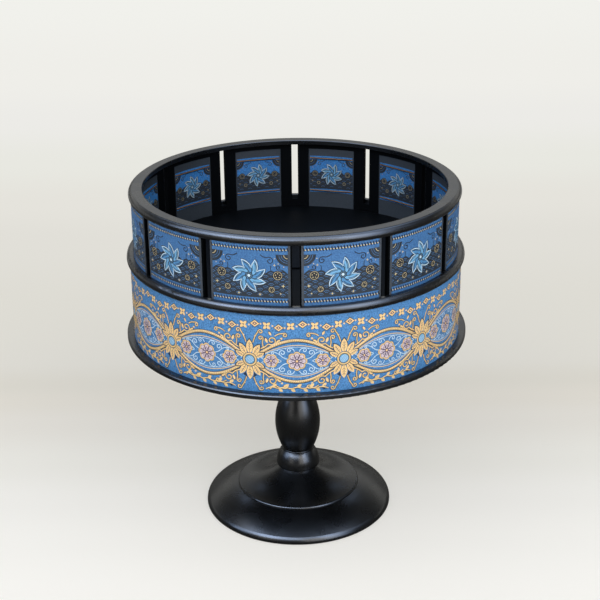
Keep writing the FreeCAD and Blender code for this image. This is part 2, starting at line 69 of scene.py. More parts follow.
def addNode(material, kind, inputs=None, **settings):
    node = material.node_tree.nodes.new("ShaderNode" + kind)
    for name, value in settings.items():
        setattr(node, name, value)
    for name, value in (inputs or {}).items():
        if isinstance(value, bpy.types.NodeSocket):
            material.node_tree.links.new(value, node.inputs[name])
        else:
            node.inputs[name].default_value = value
    return node


paperIor = 1.45
noiseMiddle = (0.3, 0.7)    # most of a noise's values lie between these
fineDetail = 3.0            # octaves of a noise that also shows small grains


def startMaterial(name, colour, roughness, metallic=0.0, ior=1.5):
    material = bpy.data.materials.new(name)
    material.use_nodes = True
    shader = material.node_tree.nodes["Principled BSDF"]
    shader.inputs["Base Color"].default_value = linear(colour)
    shader.inputs["Roughness"].default_value = roughness
    shader.inputs["Metallic"].default_value = metallic
    if not metallic:
        shader.inputs["IOR"].default_value = ior
    place = addNode(material, "TexCoord").outputs["Object"]
    return material, shader, place


def feed(material, source, shader, name):
    material.node_tree.links.new(source, shader.inputs[name])


def spread(low, high):
    return {"From Min": noiseMiddle[0], "From Max": noiseMiddle[1], "To Min": low, "To Max": high}


def wear(material, shader, clouds, grain, finish):
    # The roughness drifts with the clouds, and the grain stands up by the finish's depth.
    rough = addNode(material, "MapRange", {"Value": clouds.outputs["Fac"], **spread(*finish["roughness"])})
    feed(material, rough.outputs["Result"], shader, "Roughness")
    bump = addNode(material, "Bump", {"Height": grain.outputs["Fac"], "Distance": finish["depth"] * mm,
                                      "Strength": 1.0})
    feed(material, bump.outputs["Normal"], shader, "Normal")


# Satin nitrocellulose lacquer on turned beech: near black with soft wide highlights and a faint
# orange peel that breaks their edges.
lacquer = {
    "colour": "#050607",
    "ior": 1.6,
    "roughness": (0.25, 0.31),
    "cloudSize": 14.0,
    "peelSize": 2.2,
    "depth": 0.008,
}


def satinLacquer():
    material, shader, place = startMaterial("satinLacquer", lacquer["colour"], lacquer["roughness"][0],
                                            ior=lacquer["ior"])
    clouds = addNode(material, "TexNoise", {"Vector": place, "Scale": 1 / (lacquer["cloudSize"] * mm),
                                            "Detail": fineDetail})
    peel = addNode(material, "TexNoise", {"Vector": place, "Scale": 1 / (lacquer["peelSize"] * mm)})
    wear(material, shader, clouds, peel, lacquer)
    return material


# Moulded ABS under matt black paint: deep black that swallows light, with a fine dry grain.
moulding = {"colour": "#030405", "gloss": 0.04, "roughness": (0.5, 0.62), "grainSize": 0.6, "depth": 0.008}


def paintedAbs():
    material, shader, place = startMaterial("mattPaintedAbs", moulding["colour"], moulding["roughness"][0])
    shader.inputs["Specular IOR Level"].default_value = moulding["gloss"]
    grain = addNode(material, "TexNoise", {"Vector": place, "Scale": 1 / (moulding["grainSize"] * mm)})
    wear(material, shader, grain, grain, moulding)
    return material


# Black nitrile rubber, moulded: dull dark grey with a fine pebble.
rubber = {"colour": "#191A1B", "roughness": (0.75, 0.88), "grainSize": 1.1, "depth": 0.03}
# Cast iron with a machined face: dark grey, cloudy, fairly rough.
iron = {"colour": "#5A5B5C", "roughness": (0.42, 0.6), "grainSize": 2.5, "depth": 0.03}
# Bright zinc plate on steel: pale blue-grey metal, slightly cloudy.
zinc = {"colour": "#BFC3C6", "roughness": (0.26, 0.38), "grainSize": 3.0, "depth": 0.004}
# Turned aluminium: light grey metal with a fine grain, 0.4 mm coarse so that it shows.
aluminium = {"colour": "#CFD0D1", "roughness": (0.28, 0.4), "grainSize": 0.4, "depth": 0.004}
# Ground bearing steel: bright, smooth grey metal.
bearingSteel = {"colour": "#C9CACC", "roughness": (0.12, 0.2), "grainSize": 1.5, "depth": 0.002}
# Pressed brass: warm yellow metal with a soft sheen.
brass = {"colour": "#C9A24E", "roughness": (0.25, 0.36), "grainSize": 2.0, "depth": 0.004}


def grained(name, finish, metallic):
    material, shader, place = startMaterial(name, finish["colour"], finish["roughness"][0], metallic)
    grain = addNode(material, "TexNoise", {"Vector": place, "Scale": 1 / (finish["grainSize"] * mm),
                                           "Detail": fineDetail})
    wear(material, shader, grain, grain, finish)
    return material


# The slots stand at equal steps round the drum, and the cards lie between them.
drum = {"slotPitch": 30.0, "firstSlot": -90.0}      # degrees

# Offset-printed card, matt coated: the flat grey border and the blue field are both broken by a
# fine stipple, and nothing shines. The field's edges follow the twelve cards round the drum.
# Sizes are in millimetres; face is the radius of the ring that the pictures lie on.
outerCard = {
    "border": ("#343B43", "#424A53"),
    "field": ("#2C5C93", "#447DB6"),
    "fieldHalfWidth": 21.5,
    "fieldHeights": (178.2, 213.6),
    "face": 98.6,
    "stipple": 0.7,
    "roughness": 0.55,
}
innerCard = {
    "border": ("#22282D", "#2A3137"),
    "field": ("#1F61A6", "#358ADA"),
    "fieldHalfWidth": 14.6,
    "fieldHeights": (181.4, 206.5),
    "face": 95.15,
    "stipple": 0.7,
    "roughness": 0.6,
}


def printedCard(name, card):
    material, shader, place = startMaterial(name, card["field"][1], card["roughness"], ior=paperIor)
    stipple = addNode(material, "TexNoise", {"Vector": place, "Scale": 1 / (card["stipple"] * mm)})
    share = addNode(material, "MapRange", {"Value": stipple.outputs["Fac"], **spread(0.0, 1.0)})
    split = addNode(material, "SeparateXYZ", {"Vector": place})
    angle = addNode(material, "Math", {0: split.outputs["Y"], 1: split.outputs["X"]}, operation="ARCTAN2")
    half = math.radians(drum["slotPitch"] / 2)
    fold = addNode(material, "Math", {0: angle.outputs[0], 1: half}, operation="PINGPONG")
    reach = card["fieldHalfWidth"] / card["face"]
    across = addNode(material, "Math", {0: fold.outputs[0], 1: half, 2: reach}, operation="COMPARE")
    low, high = card["fieldHeights"]
    middle, rise = (low + high) / 2 * mm, (high - low) / 2 * mm
    up = addNode(material, "Math", {0: split.outputs["Z"], 1: middle, 2: rise}, operation="COMPARE")
    inside = addNode(material, "Math", {0: across.outputs[0], 1: up.outputs[0]}, operation="MULTIPLY")
    border, field = [
        addNode(material, "Mix", {"Factor": share.outputs["Result"], "A": linear(dark), "B": linear(light)},
                data_type="RGBA").outputs["Result"]
        for dark, light in (card["border"], card["field"])
    ]
    whole = addNode(material, "Mix", {"Factor": inside.outputs[0], "A": border, "B": field},
                    data_type="RGBA")
    feed(material, whole.outputs["Result"], shader, "Base Color")
    return material


# Offset-printed paper sleeve, matt coated: blue tint over the whole sheet with a fine engraved stipple.
bandPaper = {
    "dark": "#2B66A0",
    "light": "#5B9CDA",
    "stipple": 0.75,
    "cloudSize": 9.0,
    "roughness": (0.45, 0.55),
}


def printedSleeve():
    material, shader, place = startMaterial("printedSleeve", bandPaper["light"], bandPaper["roughness"][0],
                                            ior=paperIor)
    stipple = addNode(material, "TexNoise", {"Vector": place, "Scale": 1 / (bandPaper["stipple"] * mm)})
    share = addNode(material, "MapRange", {"Value": stipple.outputs["Fac"], **spread(0.0, 1.0)})
    tint = addNode(material, "Mix", {"Factor": share.outputs["Result"], "A": linear(bandPaper["dark"]),
                                     "B": linear(bandPaper["light"])}, data_type="RGBA")
    feed(material, tint.outputs["Result"], shader, "Base Color")
    clouds = addNode(material, "TexNoise", {"Vector": place, "Scale": 1 / (bandPaper["cloudSize"] * mm)})
    rough = addNode(material, "MapRange", {"Value": clouds.outputs["Fac"],
                                           **spread(*bandPaper["roughness"])})
    feed(material, rough.outputs["Result"], shader, "Roughness")
    return material


materials = {
    "black_lacquer": satinLacquer(),
    "black_moulding": paintedAbs(),
    "outer_print": printedCard("outerCard", outerCard),
    "inner_print": printedCard("innerCard", innerCard),
    "printed_band": printedSleeve(),
    "pad_rubber": grained("nitrileRubber", rubber, 0.0),
    "ballast_iron": grained("castIron", iron, 1.0),
    "zinc_steel": grained("zincPlatedSteel", zinc, 1.0),
    "hub_aluminium": grained("turnedAluminium", aluminium, 1.0),
    "bearing_steel": grained("bearingSteel", bearingSteel, 1.0),
    "cage_brass": grained("pressedBrass", brass, 1.0),
}
for subpart in frame["record"]["subparts"]:
    owner = nodes[subpart["node"]]
    for materialSlot in owner.material_slots:
        materialSlot.material = materials[subpart["material_slot"]]
print("camera and node materials done")

# Matt offset inks: opaque, dry, with the same fine stipple as the paper under them.
inks = {
    "slateInk": "#262F39",
    "waveInk": "#4A7DB2",
    "darkInk": "#1E242C",
    "navyInk": "#1B3048",
    "azureInk": "#4F8FC6",
    "skyInk": "#72B0DE",
    "paleInk": "#CDE8FB",
    "goldInk": "#F8D495",
    "sandInk": "#D6C596",
    "amberInk": "#DFA55C",
    "lilacInk": "#DCCBD6",
    "mauveInk": "#5D4A66",
}
inkFinish = {
    "stipple": 0.6,
    "shades": (0.9, 1.03),
    "roughness": 0.5,
    # The inks on the inner cards are copies darkened as painted shade for the inside of the drum, all but
    # those of their pinwheels.
    "innerShadeTone": 0.74,
    "innerShadeTones": {"skyInk": 1.0, "azureInk": 1.05, "paleInk": 0.88},
}


def printInk(name, colour):
    material, shader, place = startMaterial(name, colour, inkFinish["roughness"], ior=paperIor)
    stipple = addNode(material, "TexNoise", {"Vector": place, "Scale": 1 / (inkFinish["stipple"] * mm)})
    share = addNode(material, "MapRange", {"Value": stipple.outputs["Fac"], **spread(*inkFinish["shades"])})
    tone = addNode(material, "HueSaturation", {"Color": linear(colour), "Value": share.outputs["Result"]})
    feed(material, tone.outputs["Color"], shader, "Base Color")
    return material


inkMaterials = {}
for name, colour in inks.items():
    # The inner cards get a copy of each ink, darkened as painted shade.
    tone = inkFinish["innerShadeTones"].get(name, inkFinish["innerShadeTone"])
    shadedColour = "#" + "".join(f"{round(int(colour[place:place + 2], 16) * tone):02X}" for place in (1, 3, 5))
    inkMaterials[name] = printInk(name, colour)
    inkMaterials[name + "InnerShaded"] = printInk(name + "InnerShaded", shadedColour)

# A print is drawn flat in millimetres, x along the arc and y up, then laid on its ring face.
layer = {
    "lift": 0.02,       # each level's rise
    "ridge": 0.008,     # a stroke's crown
    "flat": 0.01,       # a drawn point this near the middle lies on the edge of its stroke
    "cut": 3.0,         # width of the strips that let a fill bend round the drum
    "cutShift": 0.01,   # keeps the cuts off the points that lie on whole steps
    "weld": 0.001,
}


def newDrawing():
    return {"strokes": {}, "fills": {}}


def stroke(drawing, ink, level, points, width, closed=False, smooth=False):
    drawing["strokes"].setdefault((ink, level), []).append((points, width, closed, smooth))


def fill(drawing, ink, level, points):
    drawing["fills"].setdefault((ink, level), []).append((points, 0.0, True, False))


def placed(points, x=0.0, y=0.0, turn=0.0, flip=1):
    cosine, sine = math.cos(math.radians(turn)), math.sin(math.radians(turn))
    return [(x + flip * px * cosine - py * sine, y + flip * px * sine + py * cosine) for px, py in points]


def polar(reach, turn, x=0.0, y=0.0):
    return placed([(reach, 0)], x, y, turn)[0]


def arc(x, y, radius, start, end, steps):
    turns = [math.radians(start + (end - start) * step / steps) for step in range(steps + 1)]
    return [(x + radius * math.cos(turn), y + radius * math.sin(turn)) for turn in turns]


def ring(x, y, radius, steps=16):
    return arc(x, y, radius, 0, 360 - 360 / steps, steps - 1)


def curl(x, y, radius, start, turns, endRadius, stepsPerTurn=14):
    # A spiral that winds inwards; a negative number of turns winds it clockwise.
    steps = max(6, int(abs(turns) * stepsPerTurn))
    return [polar(radius + (endRadius - radius) * step / steps, start + 360 * turns * step / steps, x, y)
            for step in range(steps + 1)]


def tendril(points, end):
    return points + (curl(*end) if end else [])


def leaf(length, width, steps=5):
    # A pointed leaf that grows along +y from its stalk.
    parts = [step / steps for step in range(steps + 1)]
    side = [(width / 2 * math.sin(math.pi * part) ** 0.8, length * part) for part in parts]
    return side + [(-x, y) for x, y in side[-2:0:-1]]


def flatMesh(items, isFill):
    # The heights made here only tell front, edge and back apart: flatPrint sets the real ones.
    curve = bpy.data.curves.new("print", "CURVE")
    curve.dimensions = "2D" if isFill else "3D"
    curve.resolution_u = 3
    if isFill:
        curve.fill_mode = "BOTH"
        curve.extrude = 0.5
    else:
        curve.bevel_depth = 1.0
        curve.bevel_resolution = 0
        curve.use_fill_caps = True
        curve.twist_mode = "Z_UP"
    for points, width, closed, smooth in items:
        spline = curve.splines.new("NURBS" if smooth else "POLY")
        spline.points.add(len(points) - 1)
        for point, (x, y) in zip(spline.points, points):
            point.co = (x, y, 0.0, 1.0)
            point.radius = width / 2
        spline.use_cyclic_u = closed
        if smooth:
            spline.order_u = 3
            spline.use_endpoint_u = True
    drawn = bpy.data.objects.new("print", curve)
    mesh = bpy.data.meshes.new_from_object(drawn)
    bpy.data.objects.remove(drawn)
    bpy.data.curves.remove(curve)
    return mesh


def cutInStrips(part):
    bmesh.ops.remove_doubles(part, verts=part.verts, dist=layer["weld"])
    count = int(max(abs(vert.co.x) for vert in part.verts) / layer["cut"])
    for step in range(-count, count + 1):
        whole = part.verts[:] + part.edges[:] + part.faces[:]
        bmesh.ops.bisect_plane(part, geom=whole, dist=layer["weld"] / 10, plane_no=(1, 0, 0),
                               plane_co=(step * layer["cut"] + layer["cutShift"], 0, 0))


def flatPrint(drawing):
    whole = bmesh.new()
    used = sorted({ink for kind in drawing.values() for ink, level in kind})
    for kind, layers in drawing.items():
        for (ink, level), items in layers.items():
            mesh = flatMesh(items, kind == "fills")
            part = bmesh.new()
            part.from_mesh(mesh)
            if kind == "fills":
                cutInStrips(part)
            rise = layer["lift"] * (level + 1)
            for vert in part.verts:     # crown, edge and back of a stroke, front and back of a fill
                side = 0 if abs(vert.co.z) <= layer["flat"] else math.copysign(1, vert.co.z)
                vert.co.z = rise + side * layer["ridge"]
            bmesh.ops.recalc_face_normals(part, faces=part.faces)
            for face in part.faces:
                face.material_index = used.index(ink)
            part.to_mesh(mesh)
            part.free()
            whole.from_mesh(mesh)
            bpy.data.meshes.remove(mesh)
    return whole, used


def layPrint(name, drawing, face, height, middle, inward=False):
    shape, used = flatPrint(drawing)
    side = -1 if inward else 1
    for vert in shape.verts:
        x, y, rise = vert.co
        angle = math.radians(middle) + side * x / face
        radius = face + side * rise
        vert.co = (radius * math.cos(angle) * mm, radius * math.sin(angle) * mm, (height + y) * mm)
    mesh = bpy.data.meshes.new(name)
    shape.to_mesh(mesh)
    shape.free()
    # Inside the drum the darkened copies of the inks stand in as painted shade.
    for ink in used:
        mesh.materials.append(inkMaterials[ink + "InnerShaded" if inward else ink])
    piece = bpy.data.objects.new(name, mesh)
    bpy.context.scene.collection.objects.link(piece)
    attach(piece, "drum")


# The pinwheel turns by a step from card to card, so that it spins when the drum is looked through.
# Reaches are shares of its radius, places along a sail are shares of the pitch, widths are millimetres.
pinwheel = {
    "phaseStep": 15.0,
    "sails": 8,
    "core": 0.2,
    "coreGround": 1.1,
    "coreRing": (0.78, 0.22),
    "pip": 0.09,
    "valley": 0.5,
    "lean": 0.87,
    "back": (0.72, 1.05),
    "sweep": 30.0,
    "division": (0.92, 0.4),
    "veins": (
        (((0.4, 0.12), (0.56, 0.4), (0.7, 0.64), (0.82, 0.78)), 0.3),
        (((0.36, 0.5), (0.5, 0.74), (0.62, 0.9)), 0.24),
    ),
    "outline": 0.62,
    "linesBeside": ((0.9, 0.36), (1.05, 0.5)),
}


def drawPinwheel(drawing, level, radius, phase):
    pitch = 360 / pinwheel["sails"]
    core, valley = radius * pinwheel["core"], radius * pinwheel["valley"]
    parts = [step / 5 for step in range(6)]

    def division(turn, reach=1.0):
        return [polar(core + (valley - core) * reach * part, turn - pinwheel["sweep"] * (1 - reach * part))
                for part in parts]

    rim = []
    divisionReach, divisionWidth = pinwheel["division"]
    backReach, backTurn = pinwheel["back"]
    for sail in range(pinwheel["sails"]):
        start = phase + pitch * sail
        edge = [polar(valley + (radius - valley) * part, start + pitch * pinwheel["lean"] * part)
                for part in parts]
        edge.append(polar(radius * backReach, start + pitch * (pinwheel["lean"] + backTurn) / 2))
        fill(drawing, "skyInk" if sail % 2 else "azureInk", level,
             division(start) + edge[1:] + division(start + pitch)[::-1])
        rim += edge
        stroke(drawing, "darkInk", level + 1, division(start, divisionReach), divisionWidth)
        for places, width in pinwheel["veins"]:
            vein = [polar(radius * reach, start + pitch * part) for reach, part in places]
            stroke(drawing, "navyInk", level + 1, vein, width, smooth=True)
    for size, width in pinwheel["linesBeside"]:
        stroke(drawing, "darkInk", level + 1, [(size * x, size * y) for x, y in rim], width, closed=True)
    stroke(drawing, "paleInk", level + 2, rim, pinwheel["outline"], closed=True)
    fill(drawing, "darkInk", level + 2, ring(0, 0, core * pinwheel["coreGround"]))
    ringSize, ringWidth = pinwheel["coreRing"]
    stroke(drawing, "skyInk", level + 3, ring(0, 0, core * ringSize), ringWidth, closed=True)
    fill(drawing, "paleInk", level + 4, ring(0, 0, radius * pinwheel["pip"], 10))


roundel = {"ground": 0.4, "rimInset": 0.2, "rim": 0.28, "beads": 5, "beadReach": 0.5, "beadSize": 0.13}


def drawRoundel(drawing, level, x, y, radius):
    fill(drawing, "darkInk", level, ring(x, y, radius + roundel["ground"]))
    rim = ring(x, y, radius - roundel["rimInset"])
    stroke(drawing, "sandInk", level + 1, rim, roundel["rim"], closed=True)
    for bead in range(roundel["beads"]):
        px, py = polar(radius * roundel["beadReach"], 360 * (bead + 0.25) / roundel["beads"], x, y)
        fill(drawing, "sandInk", level + 1, ring(px, py, radius * roundel["beadSize"], 6))


spark = {"rays": 4, "waist": 0.3}


def drawSpark(drawing, level, x, y, radius):
    points = [polar(radius * (spark["waist"] if step % 2 else 1.0), 180 / spark["rays"] * step, x, y)
              for step in range(2 * spark["rays"])]
    fill(drawing, "sandInk", level, points)


fan = {
    "rim": 0.5,
    "line": 0.3,
    "lineInset": 3,     # degrees that the line stops short of the card's edges
    "lastLine": 0.4,
    "lastInset": 5,
    "spokes": (18, 45, 72),
    "spokeGaps": (0.6, 0.4),
    "dotGap": 1.1,
    "dot": 0.34,
}


def drawFan(drawing, level, x, y, flip, radii):
    # A quarter fan that fills an upper corner of the card.
    outer, *middles, inner = radii
    start = 180 if flip > 0 else 270
    end = start + 90
    rim = arc(x, y, outer, start, end, 8)
    fill(drawing, "slateInk", level, [(x, y)] + rim)
    stroke(drawing, "darkInk", level + 1, rim, fan["rim"])
    for radius in middles:
        line = arc(x, y, radius, start + fan["lineInset"], end - fan["lineInset"], 7)
        stroke(drawing, "waveInk", level + 1, line, fan["line"])
    line = arc(x, y, inner, start + fan["lastInset"], end - fan["lastInset"], 6)
    stroke(drawing, "sandInk", level + 1, line, fan["lastLine"])
    innerGap, outerGap = fan["spokeGaps"]
    for spoke in fan["spokes"]:
        turn = start + spoke
        ends = [polar(inner + innerGap, turn, x, y), polar(outer - outerGap, turn, x, y)]
        stroke(drawing, "darkInk", level + 1, ends, fan["line"])
        fill(drawing, "sandInk", level, ring(*polar(outer + fan["dotGap"], turn, x, y), fan["dot"], 6))


scales = {"line": 0.28, "inset": 0.1, "below": 0.6, "ends": (32, 148), "innerTurn": 6, "outerSize": 0.9}


def drawScales(drawing, level, halfWidth, low, count, rows, arcs):
    # Overlapping wave scales: each row shows only its crowns above the row below it.
    radius = halfWidth / count
    top = low + (rows - 1) * radius / 2

    def crown(x, y, shift):
        away = (x + halfWidth + shift) % (2 * radius) - radius
        return y + math.sqrt(max(radius ** 2 - away ** 2, 0.0))

    steps = count * 10
    edge = []
    for step in range(steps + 1):
        x = -halfWidth + 2 * halfWidth * step / steps
        edge.append((x, max(crown(x, top, 0), crown(x, top - radius / 2, radius))))
    base = low - scales["below"]
    fill(drawing, "slateInk", level, [(-halfWidth, base), (halfWidth, base)] + edge[::-1])
    for row in range(rows):
        y = top - row * radius / 2
        odd = row % 2
        for place in range(count + odd):
            x = -halfWidth + radius * (2 * place + 1 - odd)
            for size in arcs:
                if y + radius * size <= low:
                    continue
                inset = 0 if size > scales["outerSize"] else scales["innerTurn"]
                # A scale at the card's side is cut off at its middle.
                start = 90 if x > halfWidth - radius / 2 else scales["ends"][0] + inset
                end = 90 if x < -halfWidth + radius / 2 else scales["ends"][1] - inset
                stroke(drawing, "waveInk" if inset else "darkInk", level + 1,
                       arc(x, y, radius * size - scales["inset"], start, end, 4), scales["line"])


rope = {"pitch": 1.72, "bead": 0.42, "strand": 0.7, "slant": 0.42, "height": 2.1, "drop": 0.25}


def drawRope(drawing, level, halfWidth, y):
    # A row of beads between slanted dark strands.
    pitch, slant, tall = rope["pitch"], rope["slant"], rope["height"] / 2
    count = int(2 * halfWidth / pitch)
    for strand in range(count + 1):
        x = (strand - count / 2) * pitch
        if strand < count:
            fill(drawing, "sandInk", level, ring(x + pitch / 2, y - rope["drop"], rope["bead"], 8))
        stroke(drawing, "darkInk", level + 1, [(x - slant, y + tall), (x, y), (x + slant, y - tall)],
               rope["strand"])


# Places on a card are millimetres from its picture's middle. A mirrored piece is given for the right
# half. A tendril is its width, its points and the curl at its end.
outerPicture = {
    "height": 195.15,
    "pinwheel": 9.9,
    "scales": {"low": -12.0, "count": 7, "rows": 9, "arcs": (1.0, 0.66, 0.34)},
    "ropes": (15.6, -14.35),
    "rules": (),
    "fanTop": 12.7,
    "fanRadii": (6.3, 4.8, 3.6, 2.2),
    "tendrils": (
        (0.5, [(6.4, 12.4), (8.4, 10.8), (10.6, 11.0)], (11.6, 9.1, 2.1, 105, -1.2, 0.5)),
        (0.45, [(21.0, 1.8), (19.4, 3.6), (17.4, 4.0)], (16.3, 5.4, 1.5, -60, -1.1, 0.4)),
        (0.4, [(12.4, 6.4), (11.8, 4.6), (12.4, 2.8)], None),
    ),
    "roundels": ((15.9, 0.6, 2.5), (12.5, -7.6, 1.7)),
    "sparks": ((14.2, 6.6, 0.9), (18.9, -5.4, 1.2), (6.0, -10.6, 1.0), (17.4, -9.9, 0.8)),
}
innerPicture = {
    "height": 193.95,
    "pinwheel": 7.5,
    "scales": {"low": -9.7, "count": 5, "rows": 7, "arcs": (1.0, 0.55)},
    "ropes": (),
    "rules": (-11.2, 11.2),
    "fanTop": 10.2,
    "fanRadii": (4.6, 3.2, 1.8),
    "tendrils": ((0.4, [(4.6, 9.9), (6.2, 8.6)], (8.0, 7.2, 1.5, 120, -1.1, 0.4)),),
    "roundels": ((11.2, 0.4, 1.8), (8.8, -6.0, 1.2)),
    "sparks": ((12.9, -4.6, 0.8),),
}
rule = {"ground": 1.2, "line": 0.42}


def drawCard(picture, half, phase):
    drawing = newDrawing()
    drawScales(drawing, 0, half, **picture["scales"])
    for y in picture["ropes"]:
        drawRope(drawing, 0, half, y)
    for y in picture["rules"]:
        stroke(drawing, "darkInk", 0, [(-half, y), (half, y)], rule["ground"])
        stroke(drawing, "amberInk", 1, [(-half, y), (half, y)], rule["line"])
    drawPinwheel(drawing, 3, picture["pinwheel"], phase)
    for flip in (-1, 1):
        drawFan(drawing, 1, flip * half, picture["fanTop"], flip, picture["fanRadii"])
        for width, points, end in picture["tendrils"]:
            stroke(drawing, "darkInk", 1, placed(tendril(points, end), flip=flip), width, smooth=True)
        for x, y, radius in picture["roundels"]:
            drawRoundel(drawing, 3, flip * x, y, radius)
        for x, y, radius in picture["sparks"]:
            drawSpark(drawing, 3, flip * x, y, radius)
    return drawing


# The band repeats every 30 degrees. Heights are millimetres above its lower edge.
band = {
    "face": 101.0,
    "base": 126.5,
    "segments": 12,
    "middle": 19.6,
    "outline": 0.5,     # how far the navy ground under the gold stands out, both sides together
}
bandLength = 2 * math.pi * band["face"] / band["segments"]
bandHalf = bandLength / 2

# Two waves cross at every leaf star and leave a pointed oval between the stars.
oval = {
    "swing": 12.6,
    "ground": 2.3,
    "gold": 1.65,
    "hatchPitch": 1.15,
    "hatch": (0.3, 0.36, 0.13),     # half width, share of the gold's width, line
    "linings": ((2.6, "goldInk", 0.5), (3.7, "paleInk", 0.34)),
    "liningDrop": 0.4,
    # Scrolls and dots inside the oval, for its upper right quarter: width, points and end curl.
    "scrolls": (
        (0.56, [(5.2, 1.2), (7.4, 1.8), (9.0, 3.4)], (8.0, 5.0, 1.9, -50, 1.2, 0.5)),
        (0.5, [(1.4, 5.8), (1.6, 6.8), (2.8, 7.8)], (4.2, 6.6, 1.4, 130, -1.1, 0.4)),
        (0.48, [(9.0, 3.4), (10.8, 4.9), (12.8, 5.4)], (13.4, 4.6, 0.9, 90, -1.0, 0.3)),
        (0.46, [(18.4, 0.5), (19.6, 1.3)], (19.3, 2.3, 1.0, -60, 1.1, 0.3)),
        (0.46, [(10.4, 1.0), (9.2, 0.5), (8.6, 0.0)], None),
    ),
    "dots": ((10.8, 6.4), (6.3, 7.6), (16.2, 4.6), (21.6, 1.0), (0.0, 7.2)),
    "dot": 0.4,
    "middleRosette": (5.4, 8),          # radius and lobes
    "sideRosettes": (14.4, 3.9, 6),     # distance from the middle, radius and lobes
}
rosette = {
    "ground": 1.1,
    "outline": 0.8,
    "waist": 0.8,
    "veinEnds": (0.22, 0.8),
    "vein": 0.62,
    "petal": ((0.4, -0.1), (0.66, 0.0), (0.4, 0.1)),
    "petalLine": 0.32,
    "eye": 0.24,
    "pip": 0.14,
}


def drawRosette(drawing, level, x, y, radius, lobes):
    rim = []
    for step in range(lobes * 6):
        turn = 2 * math.pi * step / (lobes * 6)
        swell = (1 - rosette["waist"]) * abs(math.cos(lobes * turn / 2)) ** 0.6
        reach = radius * (rosette["waist"] + swell)
        rim.append((x + reach * math.cos(turn), y + reach * math.sin(turn)))
    stroke(drawing, "navyInk", level, rim, rosette["ground"], closed=True)
    fill(drawing, "lilacInk", level, rim)
    stroke(drawing, "goldInk", level + 1, rim, rosette["outline"], closed=True)
    for lobe in range(lobes):
        turn = 360 * (lobe + 0.5) / lobes
        vein = [polar(radius * end, turn, x, y) for end in rosette["veinEnds"]]
        stroke(drawing, "mauveInk", level + 1, vein, rosette["vein"])
        petal = [(radius * px, radius * py) for px, py in rosette["petal"]]
        stroke(drawing, "mauveInk", level + 1, placed(petal, x, y, turn - 180 / lobes), rosette["petalLine"])
    fill(drawing, "mauveInk", level + 1, ring(x, y, radius * rosette["eye"], 10))
    fill(drawing, "goldInk", level + 2, ring(x, y, radius * rosette["pip"], 8))


def drawOval(drawing):
    middle, swing = band["middle"], oval["swing"]

    def wave(sign, height, steps, first, last, drop=0.0):
        return [(-bandHalf + bandLength * step / steps,
                 middle + sign * (height * math.cos(math.pi * (step / steps - 0.5)) - drop))
                for step in range(first, last + 1)]

    for sign in (-1, 1):
        edge = wave(sign, swing, 28, 0, 28)
        stroke(drawing, "navyInk", 1, edge, oval["ground"])
        stroke(drawing, "goldInk", 2, edge, oval["gold"])
        across, tall, line = oval["hatch"]
        ticks = int(bandLength / oval["hatchPitch"])
        for tick in range(ticks):       # fine slanted hatching across the gold
            x = -bandHalf + bandLength * (tick + 0.5) / ticks
            turn = math.pi * x / bandLength
            slope = math.degrees(math.atan(-sign * swing * math.pi / bandLength * math.sin(turn)))
            ends = [(-across, -oval["gold"] * tall), (across, oval["gold"] * tall)]
            hatch = placed(ends, x, middle + sign * swing * math.cos(turn), slope)
            stroke(drawing, "mauveInk", 3, hatch, line)
        for inset, ink, width in oval["linings"]:
            stroke(drawing, ink, 0, wave(sign, swing - inset, 24, 4, 20, oval["liningDrop"]), width)
    drawRosette(drawing, 1, 0, middle, *oval["middleRosette"])
    away, radius, lobes = oval["sideRosettes"]
    for flip in (-1, 1):
        drawRosette(drawing, 1, flip * away, middle, radius, lobes)
        for up in (-1, 1):
            for width, points, end in oval["scrolls"]:
                scroll = [(flip * x, middle + up * y) for x, y in tendril(points, end)]
                stroke(drawing, "paleInk", 1, scroll, width, smooth=True)
            for x, y in oval["dots"]:
                fill(drawing, "paleInk", 1, ring(flip * x, middle + up * y, oval["dot"], 6))


# A star of leaves where the waves cross, with filigree above and below it, for the right side.
star = {
    "leaves": ((0, 9.0), (32, 7.9), (-32, 7.9), (62, 6.2), (-62, 6.2)),      # turn and length
    "leafWidth": 0.44,
    "ground": (0.8, 0.7),
    "stalk": 3.2,
    "vein": ((0.12, 0.82), 0.24),
    "barbs": ((0.3, 0.48, 0.64), 0.12, 0.16),       # places along the leaf, reach and width
    "filigree": (
        (0.75, [(4.4, 6.4), (8.0, 7.4), (10.6, 10.0)], (12.6, 12.2, 2.8, 230, 1.25, 0.6)),
        (0.66, [(8.0, 7.4), (7.2, 10.4), (7.8, 12.6)], (6.4, 13.4, 1.5, -30, 1.2, 0.35)),
        (0.66, [(2.0, 10.4), (3.0, 13.8), (4.6, 16.6)], (6.4, 17.2, 1.5, 200, -1.1, 0.4)),
        (0.66, [(14.4, 15.0), (16.2, 16.4), (18.6, 16.6)], (19.8, 15.6, 1.3, 110, -1.1, 0.4)),
    ),
    "fronds": ((10.2, 10.6, 20, 3.4), (15.0, 10.8, -50, 3.2), (12.4, 15.2, 30, 2.8)),
    "frondWidth": 0.46,
    "dots": ((18.0, 13.6, 0.62), (3.4, 14.6, 0.55)),
    "boss": 4.3,
    "bossRing": (3.5, 1.0),
    "bossEye": 2.6,
    "bossLines": ((-1.5, -0.75, 0, 0.75, 1.5), 2.5, 35, 0.26),      # places, reach, slant and width
}


